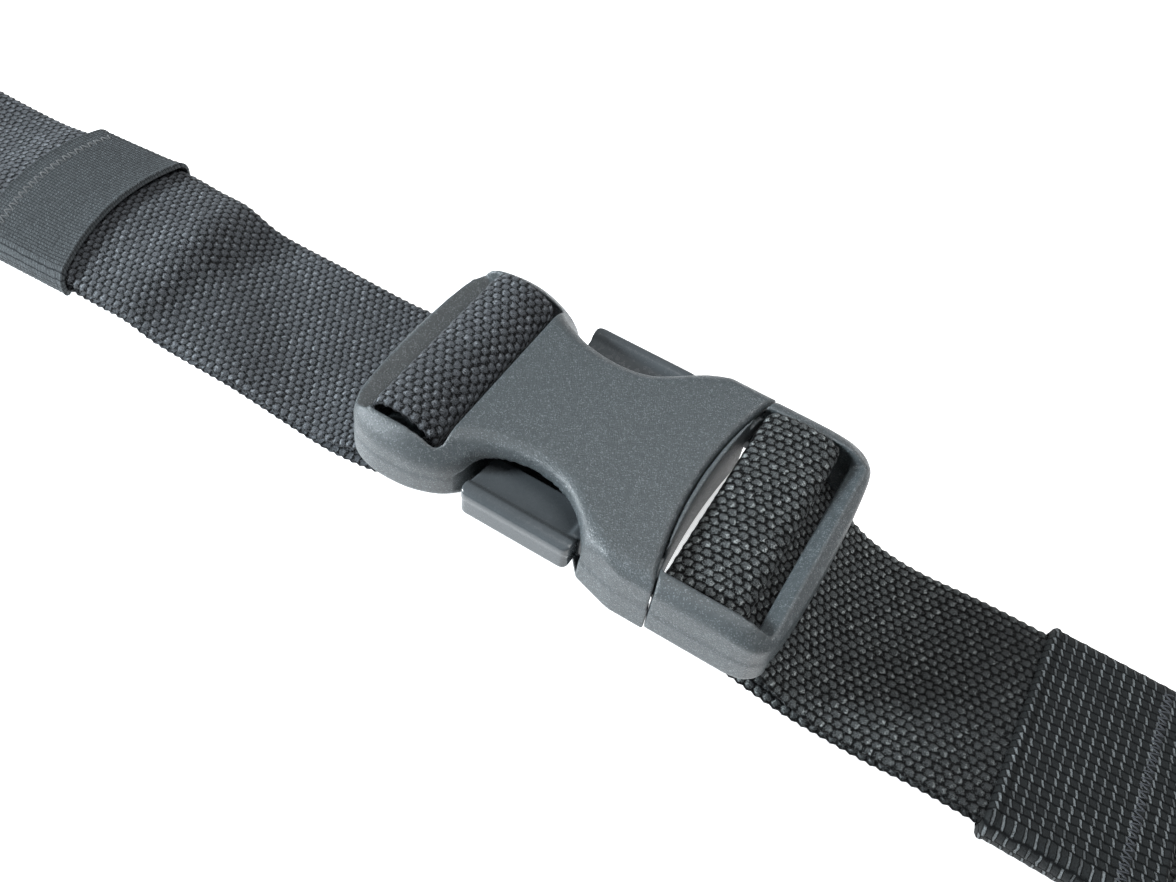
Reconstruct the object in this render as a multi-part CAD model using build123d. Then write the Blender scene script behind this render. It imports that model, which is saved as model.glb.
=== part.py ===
"""Dive weight belt: 50 mm webbing closed into a loop by a side-release buckle.

The belt lies face up on a flat surface at the buckle. Beyond the buckle the webbing turns on
edge at both ends and runs back as a standing loop. All lengths are in millimetres. +X runs
along the belt from the socket to the plug, +Y across it, +Z up, with z = 0 at the surface the
belt lies on and x = y = 0 at the middle of the whole belt.
"""
import os
from math import cos, radians, sin

from build123d import *

os.makedirs("parts", exist_ok=True)

# Webbing: the driving size of the whole belt
WEB_W = 50.0            # nominal webbing width
WEB_T = 1.9             # thickness of the polyester weight-belt webbing
GAP = 0.3               # clearance kept between separate pieces

# Loop: two flat runs at the buckle, two turns and a standing run opposite
TURN_R = 75.0           # radius of both turns, at the webbing's centre line
RUN_LEFT = 236.0        # flat run from the buckle's middle to the left turn
RUN_RIGHT = 166.0       # flat run from the buckle's middle to the right turn
TURN_STEP = 10          # degrees between sections of a turn

# Buckle envelope, measured from the buckle's middle
BUCKLE_L = 108.9
BUCKLE_W = 62.0
BUCKLE_H = 18.0
BUCKLE_TOP = 30.0       # the webbing loops under the buckle hold its face this high
END = BUCKLE_L / 2
SIDE = BUCKLE_W / 2
BUCKLE_BOTTOM = BUCKLE_TOP - BUCKLE_H
EDGE_FILLET = 3.2

# Socket
MOUTH_X = 22.5          # mouth edge on the centre line
MOUTH_SIDE_X = 27.0     # mouth edge at the sides
SHELL_WALL = 3.0
CAVITY_X = -24.0        # blind end of the cavity
CAVITY_HALF_W = 28.4
WAIST_HALF_W = 18.0
SHOULDER_X = 9.5        # latching face behind which the arms catch
RIB_Y = 7.1             # guide ribs for the plug's tongue
RIB_T = 1.6

# Webbing windows and the bars in them
WINDOW_HALF_W = 26.2
SOCKET_WINDOW = (-47.2, -27.9)
SOCKET_BAR = (-44.7, -35.2)
PLUG_WINDOW_RIGHT = 50.0
PLUG_BAR = (28.9, 42.8)
BAR_H = 6.0
BAR_ROUND = 2.7
SOCKET_BAR_TOP = BUCKLE_TOP - 4.2
PLUG_BAR_TOP = BUCKLE_TOP - 5.4
END_BAR_TOP = BUCKLE_TOP - 2.6
END_BAR_BOTTOM = BUCKLE_TOP - 10.5

# Plug
PLUG_X = 28.2           # left faces of the plug's rails
TONGUE_X = -8.0         # tip of the centre tongue
CROSS_X = 15.5          # left face of the cross member
CROSS_RIGHT_X = 24.0    # right face of the cross member on the centre line
CROSS_SIDE_X = 26.2     # right face of the cross member at the rails
PLUG_CLEAR_Z = 1.5      # clearance above and below the plug inside the cavity
CROSS_HALF_W = 28.0

# Release arms
BUTTON = (-19.5, 8.3)   # along the belt
BUTTON_OUT = 30.2       # outer face of an unpressed button
BUTTON_IN = 16.0
STEM = (20.5, 25.4)     # arm between button and root, across the belt
ARM_ROOT_X = 18.0       # where the arm springs from the cross member
ARM_NOTCH = (17.6, 27.0)
BUTTON_TOP = BUCKLE_TOP - 6.2
BUTTON_BOTTOM = BUCKLE_TOP - 13.8
BUTTON_DISH = 2.6       # fall of the button's top face towards the shell

# Elastic keepers
KEEPER_T = 1.2
KEEPER_LEFT = (-175.0, -143.0)
KEEPER_RIGHT = (105.0, 141.0)
KEEPER_TRAVEL = 10.0
RAMP = 15.0             # length over which the webbing climbs into a keeper
TAIL_END_LEFT = -168.0
TAIL_END_RIGHT = 136.0
HEM_L = 14.0            # folded end of each tail
STITCH_T = 0.5

# Heights of the webbing's middle surface
Z_LOAD = WEB_T / 2
Z_TAIL = Z_LOAD + WEB_T + GAP
LIFT = KEEPER_T + GAP
Z_KEEPER_TOP = 2 * KEEPER_T + 3 * GAP + 2 * WEB_T

# Places in the row frame
BUCKLE_X = (RUN_LEFT - RUN_RIGHT) / 2
HALF_RUN = (RUN_LEFT + RUN_RIGHT) / 2
RUN_Y = TURN_R + (WEB_T / 2 - SIDE) / 2
AT_BUCKLE = Pos(BUCKLE_X, RUN_Y, 0)


def save(node, shape):
    """Write one sub-part, already placed in the row frame."""
    shape.label = node
    export_step(shape, f"parts/{node}.step")


def block(x, y, z):
    """A box given by its limits along each axis."""
    size = (x[1] - x[0], y[1] - y[0], z[1] - z[0])
    middle = ((x[0] + x[1]) / 2, (y[0] + y[1]) / 2, (z[0] + z[1]) / 2)
    return Pos(*middle) * Box(*size)


def both_sides(shape):
    """The shape and its mirror image across the belt's centre line."""
    return shape + mirror(shape, about=Plane.XZ)


def closed_outline(half):
    """A face whose edge is the given +Y half outline and its mirror image."""
    return make_face(half + mirror(half, about=Plane.XZ))


# ---------------------------------------------------------------- buckle socket
def socket_plan():
    """Socket seen from above: bowed end, rails, waist, shoulders and concave mouth."""
    end_arc = ThreePointArc((-END, 0), (-END + 1.0, 13.0), (-END + 3.2, 23.0))
    corner = Spline(
        (-END + 3.2, 23.0), (-47.6, 28.2), (-40.0, SIDE),
        tangents=((0.25, 1.0), (1.0, 0.12)),
    )
    rail = Line((-40.0, SIDE), (-33.5, SIDE))
    waist = Spline(
        (-33.5, SIDE), (-24.0, 26.0), (-14.0, 19.4), (-4.0, WAIST_HALF_W), (7.5, 22.6),
        tangents=((1.0, 0.0), (1.0, 0.8)),
    )
    shoulder = Polyline((7.5, 22.6), (SHOULDER_X, 24.5), (SHOULDER_X, SIDE - 1.5), (11.0, SIDE),
                        (MOUTH_SIDE_X, SIDE))
    mouth = ThreePointArc((MOUTH_SIDE_X, SIDE), (23.6, 15.5), (MOUTH_X, 0))
    return closed_outline(end_arc + corner + rail + waist + shoulder + mouth)


def window_bar(bar, top):
    """Bar across a webbing window, with rounded long edges."""
    solid = block(bar, (-WINDOW_HALF_W - 1, WINDOW_HALF_W + 1), (top - BAR_H, top))
    return fillet(solid.edges().filter_by(Axis.Y), BAR_ROUND)


def socket():
    """Moulded socket: one piece with end bar, middle bar and hollow body."""
    full_z = (BUCKLE_BOTTOM, BUCKLE_TOP)
    body = extrude(Pos(0, 0, BUCKLE_BOTTOM) * socket_plan(), BUCKLE_H)
    rims = body.faces().filter_by(Axis.Z).edges()
    body = chamfer(rims, EDGE_FILLET / 2)
    body -= block(SOCKET_WINDOW, (-WINDOW_HALF_W, WINDOW_HALF_W), full_z)
    across = (-WINDOW_HALF_W, WINDOW_HALF_W)
    body -= block((-END - 1, SOCKET_WINDOW[0] + 1), across, (END_BAR_TOP, BUCKLE_TOP + 1))
    body -= block((-END - 1, SOCKET_WINDOW[0] + 1), across, (BUCKLE_BOTTOM - 1, END_BAR_BOTTOM))
    inner_z = (BUCKLE_BOTTOM + SHELL_WALL, BUCKLE_TOP - SHELL_WALL)
    body -= block((CAVITY_X, END), (-CAVITY_HALF_W, CAVITY_HALF_W), inner_z)
    rib = block((CAVITY_X - 1, 12.0), (RIB_Y - RIB_T / 2, RIB_Y + RIB_T / 2),
                (inner_z[0] - 1, inner_z[1] + 1))
    body += both_sides(rib)
    return body + window_bar(SOCKET_BAR, SOCKET_BAR_TOP)


# ---------------------------------------------------------------- plug
def plug_plan():
    """Plug frame seen from above: two rails and a nearly straight end with round corners."""
    outline = Pos((PLUG_X + END) / 2, 0) * Rectangle(END - PLUG_X, BUCKLE_W)
    ends = outline.vertices().group_by(Axis.X)[-1]
    return fillet(ends, 7.0)


def plug_window():
    """Window with a concave left edge that follows the socket's mouth."""
    corner = (CROSS_SIDE_X, WINDOW_HALF_W)
    left = ThreePointArc((corner[0], -corner[1]), (CROSS_RIGHT_X, 0), corner)
    rest = Polyline(corner, (PLUG_WINDOW_RIGHT, corner[1]), (PLUG_WINDOW_RIGHT, -corner[1]),
                    (corner[0], -corner[1]))
    return make_face(left + rest)


def plug():
    """Moulded plug: frame, middle bar, cross member and centre tongue."""
    frame_body = extrude(Pos(0, 0, BUCKLE_BOTTOM) * plug_plan(), BUCKLE_H)
    frame_body = chamfer(frame_body.faces().filter_by(Axis.Z).edges(), EDGE_FILLET / 2)
    inner_z = (BUCKLE_BOTTOM + SHELL_WALL + PLUG_CLEAR_Z, BUCKLE_TOP - SHELL_WALL - PLUG_CLEAR_Z)
    cross = block((CROSS_X, PLUG_X + 4), (-CROSS_HALF_W, CROSS_HALF_W), inner_z)
    notch = block((CROSS_X - 1, ARM_ROOT_X + GAP), ARM_NOTCH, inner_z)
    solid = frame_body + (cross - both_sides(notch))
    window = extrude(Pos(0, 0, BUCKLE_BOTTOM) * plug_window(), BUCKLE_H)
    solid -= window
    across = (-WINDOW_HALF_W, WINDOW_HALF_W)
    solid -= block((PLUG_WINDOW_RIGHT - 1, END + 1), across, (END_BAR_TOP, BUCKLE_TOP + 1))
    solid -= block((PLUG_WINDOW_RIGHT - 1, END + 1), across, (BUCKLE_BOTTOM - 1, END_BAR_BOTTOM))
    tongue_half_w = RIB_Y - RIB_T / 2 - 0.5
    tongue = block((TONGUE_X, CROSS_X + 1), (-tongue_half_w, tongue_half_w), inner_z)
    tongue = chamfer(tongue.edges().filter_by(Axis.Z).group_by(Axis.X)[0], 2.0)
    return solid + tongue + window_bar(PLUG_BAR, PLUG_BAR_TOP)


def release_arm():
    """+Y release arm: a stem inside the shell and a dished button in the side opening."""
    stem_z = (BUTTON_BOTTOM + 0.6, BUTTON_TOP - 0.6)
    stem = block((BUTTON[1] - 2, ARM_ROOT_X), STEM, stem_z)
    section = Polyline(
        (BUTTON_IN, BUTTON_BOTTOM), (BUTTON_OUT, BUTTON_BOTTOM), (BUTTON_OUT, BUTTON_TOP - 1.2),
        (BUTTON_OUT - 1.2, BUTTON_TOP), (BUTTON_OUT - 3.2, BUTTON_TOP),
        (BUTTON_IN, BUTTON_TOP - BUTTON_DISH), close=True,
    )
    along = Plane(origin=(BUTTON[0], 0, 0), x_dir=(0, 1, 0), z_dir=(1, 0, 0))
    button = extrude(along * make_face(section), BUTTON[1] - BUTTON[0])
    tip = button.edges().filter_by(Axis.Z).group_by(Axis.X)[0].sort_by(Axis.Y)[-1]
    button = chamfer(tip, 3.0)
    return stem + button


# ---------------------------------------------------------------- webbing
def strip(points, thickness=WEB_T, width=WEB_W):
    """Webbing of constant thickness along a line of (x, z) points, centred on the belt."""
    sides = ([], [])
    for i, (x, z) in enumerate(points):
        before = Vector(*points[max(i - 1, 0)])
        after = Vector(*points[min(i + 1, len(points) - 1)])
        here = Vector(x, z)
        turns = [d.normalized() for d in (here - before, after - here) if d.length > 0]
        along = sum(turns, Vector()).normalized()
        reach = thickness / 2 / max(along.dot(turns[0]), 0.5)
        out = Vector(-along.Y, along.X) * reach
        sides[0].append(here + out)
        sides[1].append(here - out)
    loop = [(p.X, p.Y) for p in sides[0] + sides[1][::-1]]
    upright = Plane(origin=(0, width / 2, 0), x_dir=(1, 0, 0), z_dir=(0, -1, 0))
    return extrude(upright * make_face(Polyline(*loop, close=True)), width)


def around_bar(bar, top, inner, outer):
    """Middle line of webbing over a bar, from the inner slot to the outer one.

    inner and outer are the x of the bar's two sides in the order the webbing passes them.
    """
    away = WEB_T / 2 + GAP
    step = 1 if outer > inner else -1
    crown = top + away
    start = inner - step * away
    end = outer + step * away
    return [
        (start, top - BAR_H - 1.0), (start, top - 2.0), (start + step * 1.2, top + 0.3),
        (start + step * 3.4, crown), (end - step * 3.4, crown), (end - step * 1.2, top + 0.3),
        (end, top - 2.0), (end, top - BAR_H - 1.0),
    ]


def lifted(near, far, level):
    """Points where webbing rises into a keeper's travel and comes down again."""
    side = 1 if far > near else -1
    return [
        (near - side * RAMP, level), (near, level + LIFT), (far, level + LIFT),
        (far + side * RAMP, level),
    ]


def left_webbing_line():
    """Load strand from the left turn, over the socket's bar, back out as the tail."""
    near, far = KEEPER_LEFT[1] + KEEPER_TRAVEL + 2, KEEPER_LEFT[0] - KEEPER_TRAVEL - 2
    load = [(-RUN_LEFT, Z_LOAD)] + lifted(near, far, Z_LOAD)[::-1]
    load += [(-74.0, Z_LOAD), (-56.0, 1.8), (-41.5, 6.5)]
    wrap = around_bar(SOCKET_BAR, SOCKET_BAR_TOP, SOCKET_BAR[1], SOCKET_BAR[0])
    tail = [(-51.0, 10.0), (-60.5, 5.2), (-74.0, Z_TAIL)]
    tail += lifted(near, far, Z_TAIL)[:2] + [(TAIL_END_LEFT, Z_TAIL + LIFT)]
    return load + wrap + tail


def right_webbing_line():
    """Load strand from the right turn, over the plug's bar, back out as the tail."""
    near, far = KEEPER_RIGHT[0] - KEEPER_TRAVEL - 2, KEEPER_RIGHT[1] + KEEPER_TRAVEL + 1
    load = [(RUN_RIGHT, Z_LOAD), (far, Z_LOAD + LIFT), (near, Z_LOAD + LIFT)]
    load += [(near - RAMP, Z_LOAD), (54.0, 1.4), (37.0, 6.0)]
    wrap = around_bar(PLUG_BAR, PLUG_BAR_TOP, PLUG_BAR[0], PLUG_BAR[1])
    tail = [(49.0, 9.6), (58.0, 5.0), (70.0, Z_TAIL)]
    tail += lifted(near, far, Z_TAIL)[:2] + [(TAIL_END_RIGHT, Z_TAIL + LIFT)]
    return load + wrap + tail


def turn_section(angle):
    """Webbing's cross-section in the right-hand turn, at an angle along its arc.

    The webbing leaves flat and stands on its outer edge from a quarter turn on.
    """
    share = min(angle / 90, 1)
    twist = radians(90 * share * share * (3 - 2 * share))
    turned = radians(angle)
    outward = Vector(sin(turned), cos(turned), 0)
    centre = Vector(HALF_RUN, RUN_Y - TURN_R, 0) + outward * TURN_R
    height = WEB_W / 2 * sin(twist) + WEB_T / 2 * cos(twist)
    across = outward * cos(twist) + Vector(0, 0, -sin(twist))
    heading = (cos(turned), -sin(turned), 0)
    plane = Plane(origin=centre + Vector(0, 0, height), x_dir=across, z_dir=heading)
    return plane * Rectangle(WEB_W, WEB_T)


def right_turn():
    """Half-circle turn that carries the flat webbing round and up on edge."""
    sections = [turn_section(angle) for angle in range(0, 181, TURN_STEP)]
    return loft(sections, ruled=True)


def back_run():
    """Standing run of webbing opposite the buckle."""
    y = RUN_Y - 2 * TURN_R
    return block((-HALF_RUN, HALF_RUN), (y - WEB_T / 2, y + WEB_T / 2), (0, WEB_W))


# ---------------------------------------------------------------- keepers and sewing
def keeper(span):
    """Elastic band sewn into a flat ring round both layers of webbing."""
    inner_w = WEB_W + 2 * GAP
    inner_h = 2 * WEB_T + 3 * GAP
    upright = Plane(origin=(span[0], 0, KEEPER_T + inner_h / 2), x_dir=(0, 1, 0), z_dir=(1, 0, 0))
    outer = RectangleRounded(inner_w + 2 * KEEPER_T, inner_h + 2 * KEEPER_T, 1.6)
    ring = outer - RectangleRounded(inner_w, inner_h, 0.4)
    return extrude(upright * ring, span[1] - span[0])


def keeper_stitch(x):
    """Row of thread across the top of a keeper, where its ends are sewn together."""
    z = Z_KEEPER_TOP
    return block((x - 2.0, x + 2.0), (-WEB_W / 2 + 1, WEB_W / 2 - 1), (z, z + STITCH_T))


def tail_hem(end, side):
    """Bar tack that holds a tail's folded end, on top of the tail."""
    z = Z_TAIL + LIFT + WEB_T / 2
    x = sorted((end, end - side * HEM_L))
    return block((x[0] + 5, x[1] - 5), (-WEB_W / 2 + 3, WEB_W / 2 - 3), (z, z + GAP / 2))


def main():
    far_arm = release_arm()
    right_flat = AT_BUCKLE * strip(right_webbing_line())
    left_flat = AT_BUCKLE * strip(left_webbing_line())
    turn = right_turn()
    save("buckle_socket", AT_BUCKLE * socket())
    save("buckle_plug", AT_BUCKLE * plug())
    save("release_arm_far", AT_BUCKLE * far_arm)
    save("release_arm_near", AT_BUCKLE * mirror(far_arm, about=Plane.XZ))
    save("webbing_right", right_flat + turn)
    save("webbing_left", left_flat + mirror(turn, about=Plane.YZ))
    save("webbing_back", back_run())
    save("keeper_left", AT_BUCKLE * keeper(KEEPER_LEFT))
    save("keeper_right", AT_BUCKLE * keeper(KEEPER_RIGHT))
    save("keeper_stitch_left", AT_BUCKLE * keeper_stitch(KEEPER_LEFT[0] + 6))
    save("keeper_stitch_right", AT_BUCKLE * keeper_stitch(KEEPER_RIGHT[1] - 9))
    save("tail_tack_left", AT_BUCKLE * tail_hem(TAIL_END_LEFT, -1))
    save("tail_tack_right", AT_BUCKLE * tail_hem(TAIL_END_RIGHT, 1))


main()
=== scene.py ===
"""Dive weight belt: the looks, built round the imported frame.

Lengths are in millimetres until a mesh is written, and then in metres. The buckle's own
coordinates have x = 0 at its middle, y = 0 on the belt's centre line and z = 0 on the table.
"""

from itertools import product
from math import cos, pi, radians, sin

import bpy
import numpy as np
from mathutils import Euler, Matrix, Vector


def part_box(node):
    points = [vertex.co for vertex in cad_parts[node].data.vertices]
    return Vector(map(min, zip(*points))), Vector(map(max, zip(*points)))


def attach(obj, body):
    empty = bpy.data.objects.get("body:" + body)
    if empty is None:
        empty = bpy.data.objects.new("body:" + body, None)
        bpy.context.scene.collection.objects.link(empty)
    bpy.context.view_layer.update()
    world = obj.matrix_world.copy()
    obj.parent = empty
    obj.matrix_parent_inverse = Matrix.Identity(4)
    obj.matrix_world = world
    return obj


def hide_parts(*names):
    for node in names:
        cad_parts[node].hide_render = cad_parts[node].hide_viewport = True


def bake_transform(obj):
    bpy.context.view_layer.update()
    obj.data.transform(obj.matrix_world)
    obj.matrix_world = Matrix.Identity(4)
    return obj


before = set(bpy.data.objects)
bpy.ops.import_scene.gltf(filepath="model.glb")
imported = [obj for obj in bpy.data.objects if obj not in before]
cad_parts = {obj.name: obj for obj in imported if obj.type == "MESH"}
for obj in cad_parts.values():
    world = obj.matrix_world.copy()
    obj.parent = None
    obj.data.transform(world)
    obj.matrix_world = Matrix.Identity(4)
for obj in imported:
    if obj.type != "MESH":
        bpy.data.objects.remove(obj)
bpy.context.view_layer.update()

MM = 0.001


def node_box(name):
    """Lowest and highest corners of a CAD node, in millimetres."""
    low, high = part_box(name)
    return np.array(low) / MM, np.array(high) / MM


# ------------------------------------------------------------ places taken from the frame
SOCKET_LOW, SOCKET_HIGH = node_box("buckle_socket")
PLUG_LOW, PLUG_HIGH = node_box("buckle_plug")
BACK_LOW, BACK_HIGH = node_box("webbing_back")
KEEPER_L_LOW, KEEPER_L_HIGH = node_box("keeper_left")
KEEPER_R_LOW, KEEPER_R_HIGH = node_box("keeper_right")

BUCKLE_X = (SOCKET_LOW[0] + PLUG_HIGH[0]) / 2
RUN_Y = (SOCKET_LOW[1] + SOCKET_HIGH[1]) / 2
TOP = SOCKET_HIGH[2]
DEEP = SOCKET_HIGH[2] - SOCKET_LOW[2]
END = (PLUG_HIGH[0] - SOCKET_LOW[0]) / 2
SIDE = (SOCKET_HIGH[1] - SOCKET_LOW[1]) / 2
HALF_RUN = BACK_HIGH[0]
TURN_R = (RUN_Y - (BACK_LOW[1] + BACK_HIGH[1]) / 2) / 2
WEB_W = BACK_HIGH[2] - BACK_LOW[2]
WEB_T = BACK_HIGH[1] - BACK_LOW[1]
GAP = 0.3


def to_row(points):
    """Buckle coordinates in millimetres to the frame's metres."""
    return (np.asarray(points, dtype=float) + (BUCKLE_X, RUN_Y, 0)) * MM


# ------------------------------------------------------------ mesh helpers
def new_mesh(name, points, faces):
    """A smooth-shaded mesh object from points in metres and an array of quads."""
    mesh = bpy.data.meshes.new(name)
    mesh.vertices.add(len(points))
    mesh.vertices.foreach_set("co", np.asarray(points, dtype=np.float32).ravel())
    faces = np.asarray(faces, dtype=np.int32)
    mesh.loops.add(faces.size)
    mesh.loops.foreach_set("vertex_index", faces.ravel())
    mesh.polygons.add(len(faces))
    mesh.polygons.foreach_set("loop_start", np.arange(0, faces.size, faces.shape[1], dtype=np.int32))
    mesh.polygons.foreach_set("use_smooth", np.full(len(faces), True))
    mesh.update(calc_edges=True)
    mesh.validate()
    piece = bpy.data.objects.new(name, mesh)
    bpy.context.scene.collection.objects.link(piece)
    return piece


def set_uv(piece, uv_of_point):
    """Writes one UV pair per mesh point to every corner that uses it."""
    mesh = piece.data
    corner_point = np.empty(len(mesh.loops), dtype=np.int32)
    mesh.loops.foreach_get("vertex_index", corner_point)
    layer = mesh.uv_layers.new(name="weave")
    layer.data.foreach_set("uv", uv_of_point[corner_point].astype(np.float32).ravel())


# ------------------------------------------------------------ solid shapes from distance fields
def meet(a, b, r=0.0):
    """What two shapes share, with an outside edge of radius r where they meet."""
    corner = np.hypot(np.maximum(a + r, 0), np.maximum(b + r, 0))
    return np.minimum(np.maximum(a, b), -r) + corner


def join(a, b, r=0.0):
    """Both shapes together, with a fillet of radius r between them."""
    return -meet(-a, -b, r)


def cut(a, b, r=0.0):
    """The first shape without the second, with an edge of radius r round the cut."""
    return meet(a, -b, r)


def slab(value, low, high):
    """Distance field of the space between two parallel planes."""
    return abs(value - (low + high) / 2) - (high - low) / 2


def rounded_slot(x, y, x_span, half_y, r):
    """Plan distance of a rectangle with corners of radius r."""
    return meet(slab(x, *x_span), abs(y) - half_y, r)


def through(points, steps=8):
    """A smooth line through the given points."""
    points = np.asarray(points, dtype=float)
    ends = np.vstack([2 * points[0] - points[1], points, 2 * points[-1] - points[-2]])
    share = np.linspace(0, 1, steps, endpoint=False)[:, None]
    runs = []
    for before, start, end, after in zip(ends, ends[1:], ends[2:], ends[3:]):
        a = 2 * start
        b = end - before
        c = 2 * before - 5 * start + 4 * end - after
        d = 3 * start - before - 3 * end + after
        runs.append((a + b * share + c * share ** 2 + d * share ** 3) / 2)
    return np.vstack(runs + [points[-1:]])


def mirrored(half):
    """A closed outline from its +y half, given from one end of the centre line to the other."""
    half = np.asarray(half)
    inner = half[np.abs(half[:, 1]) > 1e-6]
    return np.vstack([half, inner[::-1] * (1, -1)])


def outline_distance(x, y, outline):
    """Signed plan distance to a closed outline, negative inside it."""
    near = np.full(np.broadcast_shapes(x.shape, y.shape), 1e9, dtype=np.float32)
    inside = np.zeros(near.shape, dtype=bool)
    for (ax, ay), (bx, by) in zip(outline, np.roll(outline, -1, axis=0)):
        ex, ey = bx - ax, by - ay
        length = ex * ex + ey * ey
        if length < 1e-12:
            continue
        t = np.clip(((x - ax) * ex + (y - ay) * ey) / length, 0, 1)
        near = np.minimum(near, np.hypot(x - ax - t * ex, y - ay - t * ey))
        if ay != by:
            spans = (ay > y) != (by > y)
            inside ^= spans & (x < ax + (y - ay) * ex / ey)
    return np.where(inside, -near, near)


def surface(name, field, low, step):
    """A smooth closed mesh where a distance field is zero, one point per crossed cell."""
    inside = field < 0
    size = np.array(field.shape)
    corners = list(product((0, 1), repeat=3))
    count = sum(
        inside[i:size[0] - 1 + i, j:size[1] - 1 + j, k:size[2] - 1 + k].astype(np.int8)
        for i, j, k in corners
    )
    mixed = (count > 0) & (count < 8)
    index = np.full(mixed.shape, -1, dtype=np.int32)
    index[mixed] = np.arange(mixed.sum())
    cells = np.argwhere(mixed)
    total = np.zeros((len(cells), 3))
    crossings = np.zeros(len(cells))
    for axis in range(3):
        ahead = np.eye(3, dtype=int)[axis]
        for start in corners:
            if start[axis]:
                continue
            a = field[tuple((cells + start).T)]
            b = field[tuple((cells + start + ahead).T)]
            crossed = (a < 0) != (b < 0)
            share = a[crossed] / (a[crossed] - b[crossed])
            total[crossed] += np.array(start) + share[:, None] * ahead
            crossings[crossed] += 1
    points = np.array(low) + (cells + total / crossings[:, None]) * step
    quads = []
    for axis in range(3):
        ahead, side, up = np.eye(3, dtype=int)[[axis, (axis + 1) % 3, (axis + 2) % 3]]
        near = inside[tuple(slice(0, n - a) for n, a in zip(size, ahead))]
        far = inside[tuple(slice(a, n) for n, a in zip(size, ahead))]
        edges = np.argwhere(near != far)
        ring = [edges - side - up, edges - up, edges, edges - side]
        faces = np.stack([index[tuple(c.T)] for c in ring], axis=1)
        outward = near[tuple(edges.T)]
        faces[~outward] = faces[~outward][:, ::-1]
        quads.append(faces)
    return new_mesh(name, to_row(points), np.vstack(quads))


def grid(low, high, step):
    """Open coordinate arrays over a box, for fields that are built from them."""
    axes = [np.arange(a, b + step, step, dtype=np.float32) for a, b in zip(low, high)]
    return np.meshgrid(*axes, indexing="ij", sparse=True)


# ------------------------------------------------------------ buckle socket
FINE = 0.45                 # grid step of the buckle's meshes
PLATE = 3.0                 # thickness of the shell's plates
END_BAR_DROP = 2.0          # outer rim of both end bars below the buckle's face
END_BAR_DEEP = 10.5
BAR_H = 6.0
SOCKET_WINDOW = (-47.2, -27.9)
SOCKET_BAR = (-44.7, -35.2)
SOCKET_BAR_TOP = -4.2
PLUG_WINDOW_RIGHT = 48.8
PLUG_BAR = (28.9, 42.8)
PLUG_BAR_TOP = -5.4
WINDOW_HALF_W = 26.2
CAVITY_HALF_W = 28.4
CAVITY_X = -24.0
LATCH_X = 8.7
RECESS_X = 18.5             # mouth edge of the socket's underside, set back from the top's
MOUTH_MID, MOUTH_SIDE = 22.5, 27.4
SIDE_ROLL = 4.2             # radius between the top and the sides at the mouth and on the plug
PARTING = -9.6              # parting line of the mould, below the buckle's face
WINDOW_EDGE = 0.45          # edge radius round the webbing windows
SHOULDER_SLOPE = 1.1        # fall of the socket's shoulders, and the length of its normal
SHOULDER_NORMAL = 1.49
LATCH_HALF_W = 26.9         # half width of the hollow at the latch, which widens to the mouth
LATCH_WIDEN = 0.21
RECESS_HALF_W = 26.5
RECESS_TOP = -9.0
GUIDE_RIB = (6.3, 7.9)      # the two ribs that guide the plug's tongue, and their length
GUIDE_RIB_X = (-24, 12)


def mouth_x(y):
    """The socket's mouth edge, a shallow arc that is deepest on the centre line."""
    return MOUTH_MID + (MOUTH_SIDE - MOUTH_MID) * (y / SIDE) ** 2


def socket_side_outline():
    """Socket seen from above at its widest: bowed end, rails, waist and latching shoulders."""
    bow = [(-END + 4.79 * (y / 30) ** 2 - 1.56 * (y / 30) ** 4, y) for y in np.linspace(0, 22, 9)]
    corner = through([bow[-1], (-50.6, 26.6), (-47.4, 29.3), (-42.5, 30.8), (-38.5, 31.0)])
    waist = through([(-38.5, 31.0), (-33.5, 30.7), (-29.2, 29.6), (-25.6, 27.9), (-23.2, 25.6),
                     (-21.3, 22.6), (-18.6, 20.4), (-14.5, 18.9), (-9.5, 18.2), (-4.0, 18.6),
                     (0.5, 20.2), (4.3, 22.8), (6.8, 25.2)])
    shoulder = [(LATCH_X, 27.6), (9.6, 28.7), (17.6, 30.6), (19.8, 31.0)]
    mouth = [(mouth_x(y), y) for y in np.linspace(SIDE, 0, 13)]
    return mirrored(np.vstack([bow, corner, waist, shoulder, mouth]))


def socket_crest_outline():
    """Edge of the socket's flat top, where its shoulders and rails begin to fall away."""
    end = [(-50.5, 0), (-50.5, 22.0)]
    rail = through([(-50.5, 22.0), (-47.5, 25.6), (-42.0, 26.9), (-36.5, 26.7), (-31.0, 24.6),
                    (-25.8, 21.2), (-20.0, 18.4), (-15.0, 17.2), (-9.5, 16.7), (-4.0, 17.1),
                    (0.5, 18.6), (4.3, 21.6), (9.0, 25.0), (18.7, 30.8), (30.0, 34.0)])
    return mirrored(np.vstack([end, rail, [(30.0, 0)]]))


def parting_step(z):
    """Small step of the side walls at the mould's parting line."""
    return 0.12 * np.tanh((z - PARTING) / 0.25)


def underside(z, outside):
    """The flat underside, with a shallow bevel where the plan distance given is above zero."""
    return (-DEEP - z + 0.4 * np.maximum(outside, 0)) / 1.08


def falling_top(z, crest, slope, r):
    """A flat face that slopes down outside its crest outline."""
    return meet(z, (z + slope * crest) / np.hypot(1, slope), r)


def end_bar_cut(x, y, z, rim_x, inner_x):
    """Space above an end bar, whose top slopes down from its outer rim towards the window."""
    side = np.sign(rim_x)
    inward = side * (rim_x - x)
    top = -END_BAR_DROP - 0.6 * np.clip(inward - 0.8, 0, 8)
    return np.maximum(np.maximum(abs(y) - 25.4 - 0.35 * (z + 4), side * (inner_x - x)), top - z)


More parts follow.
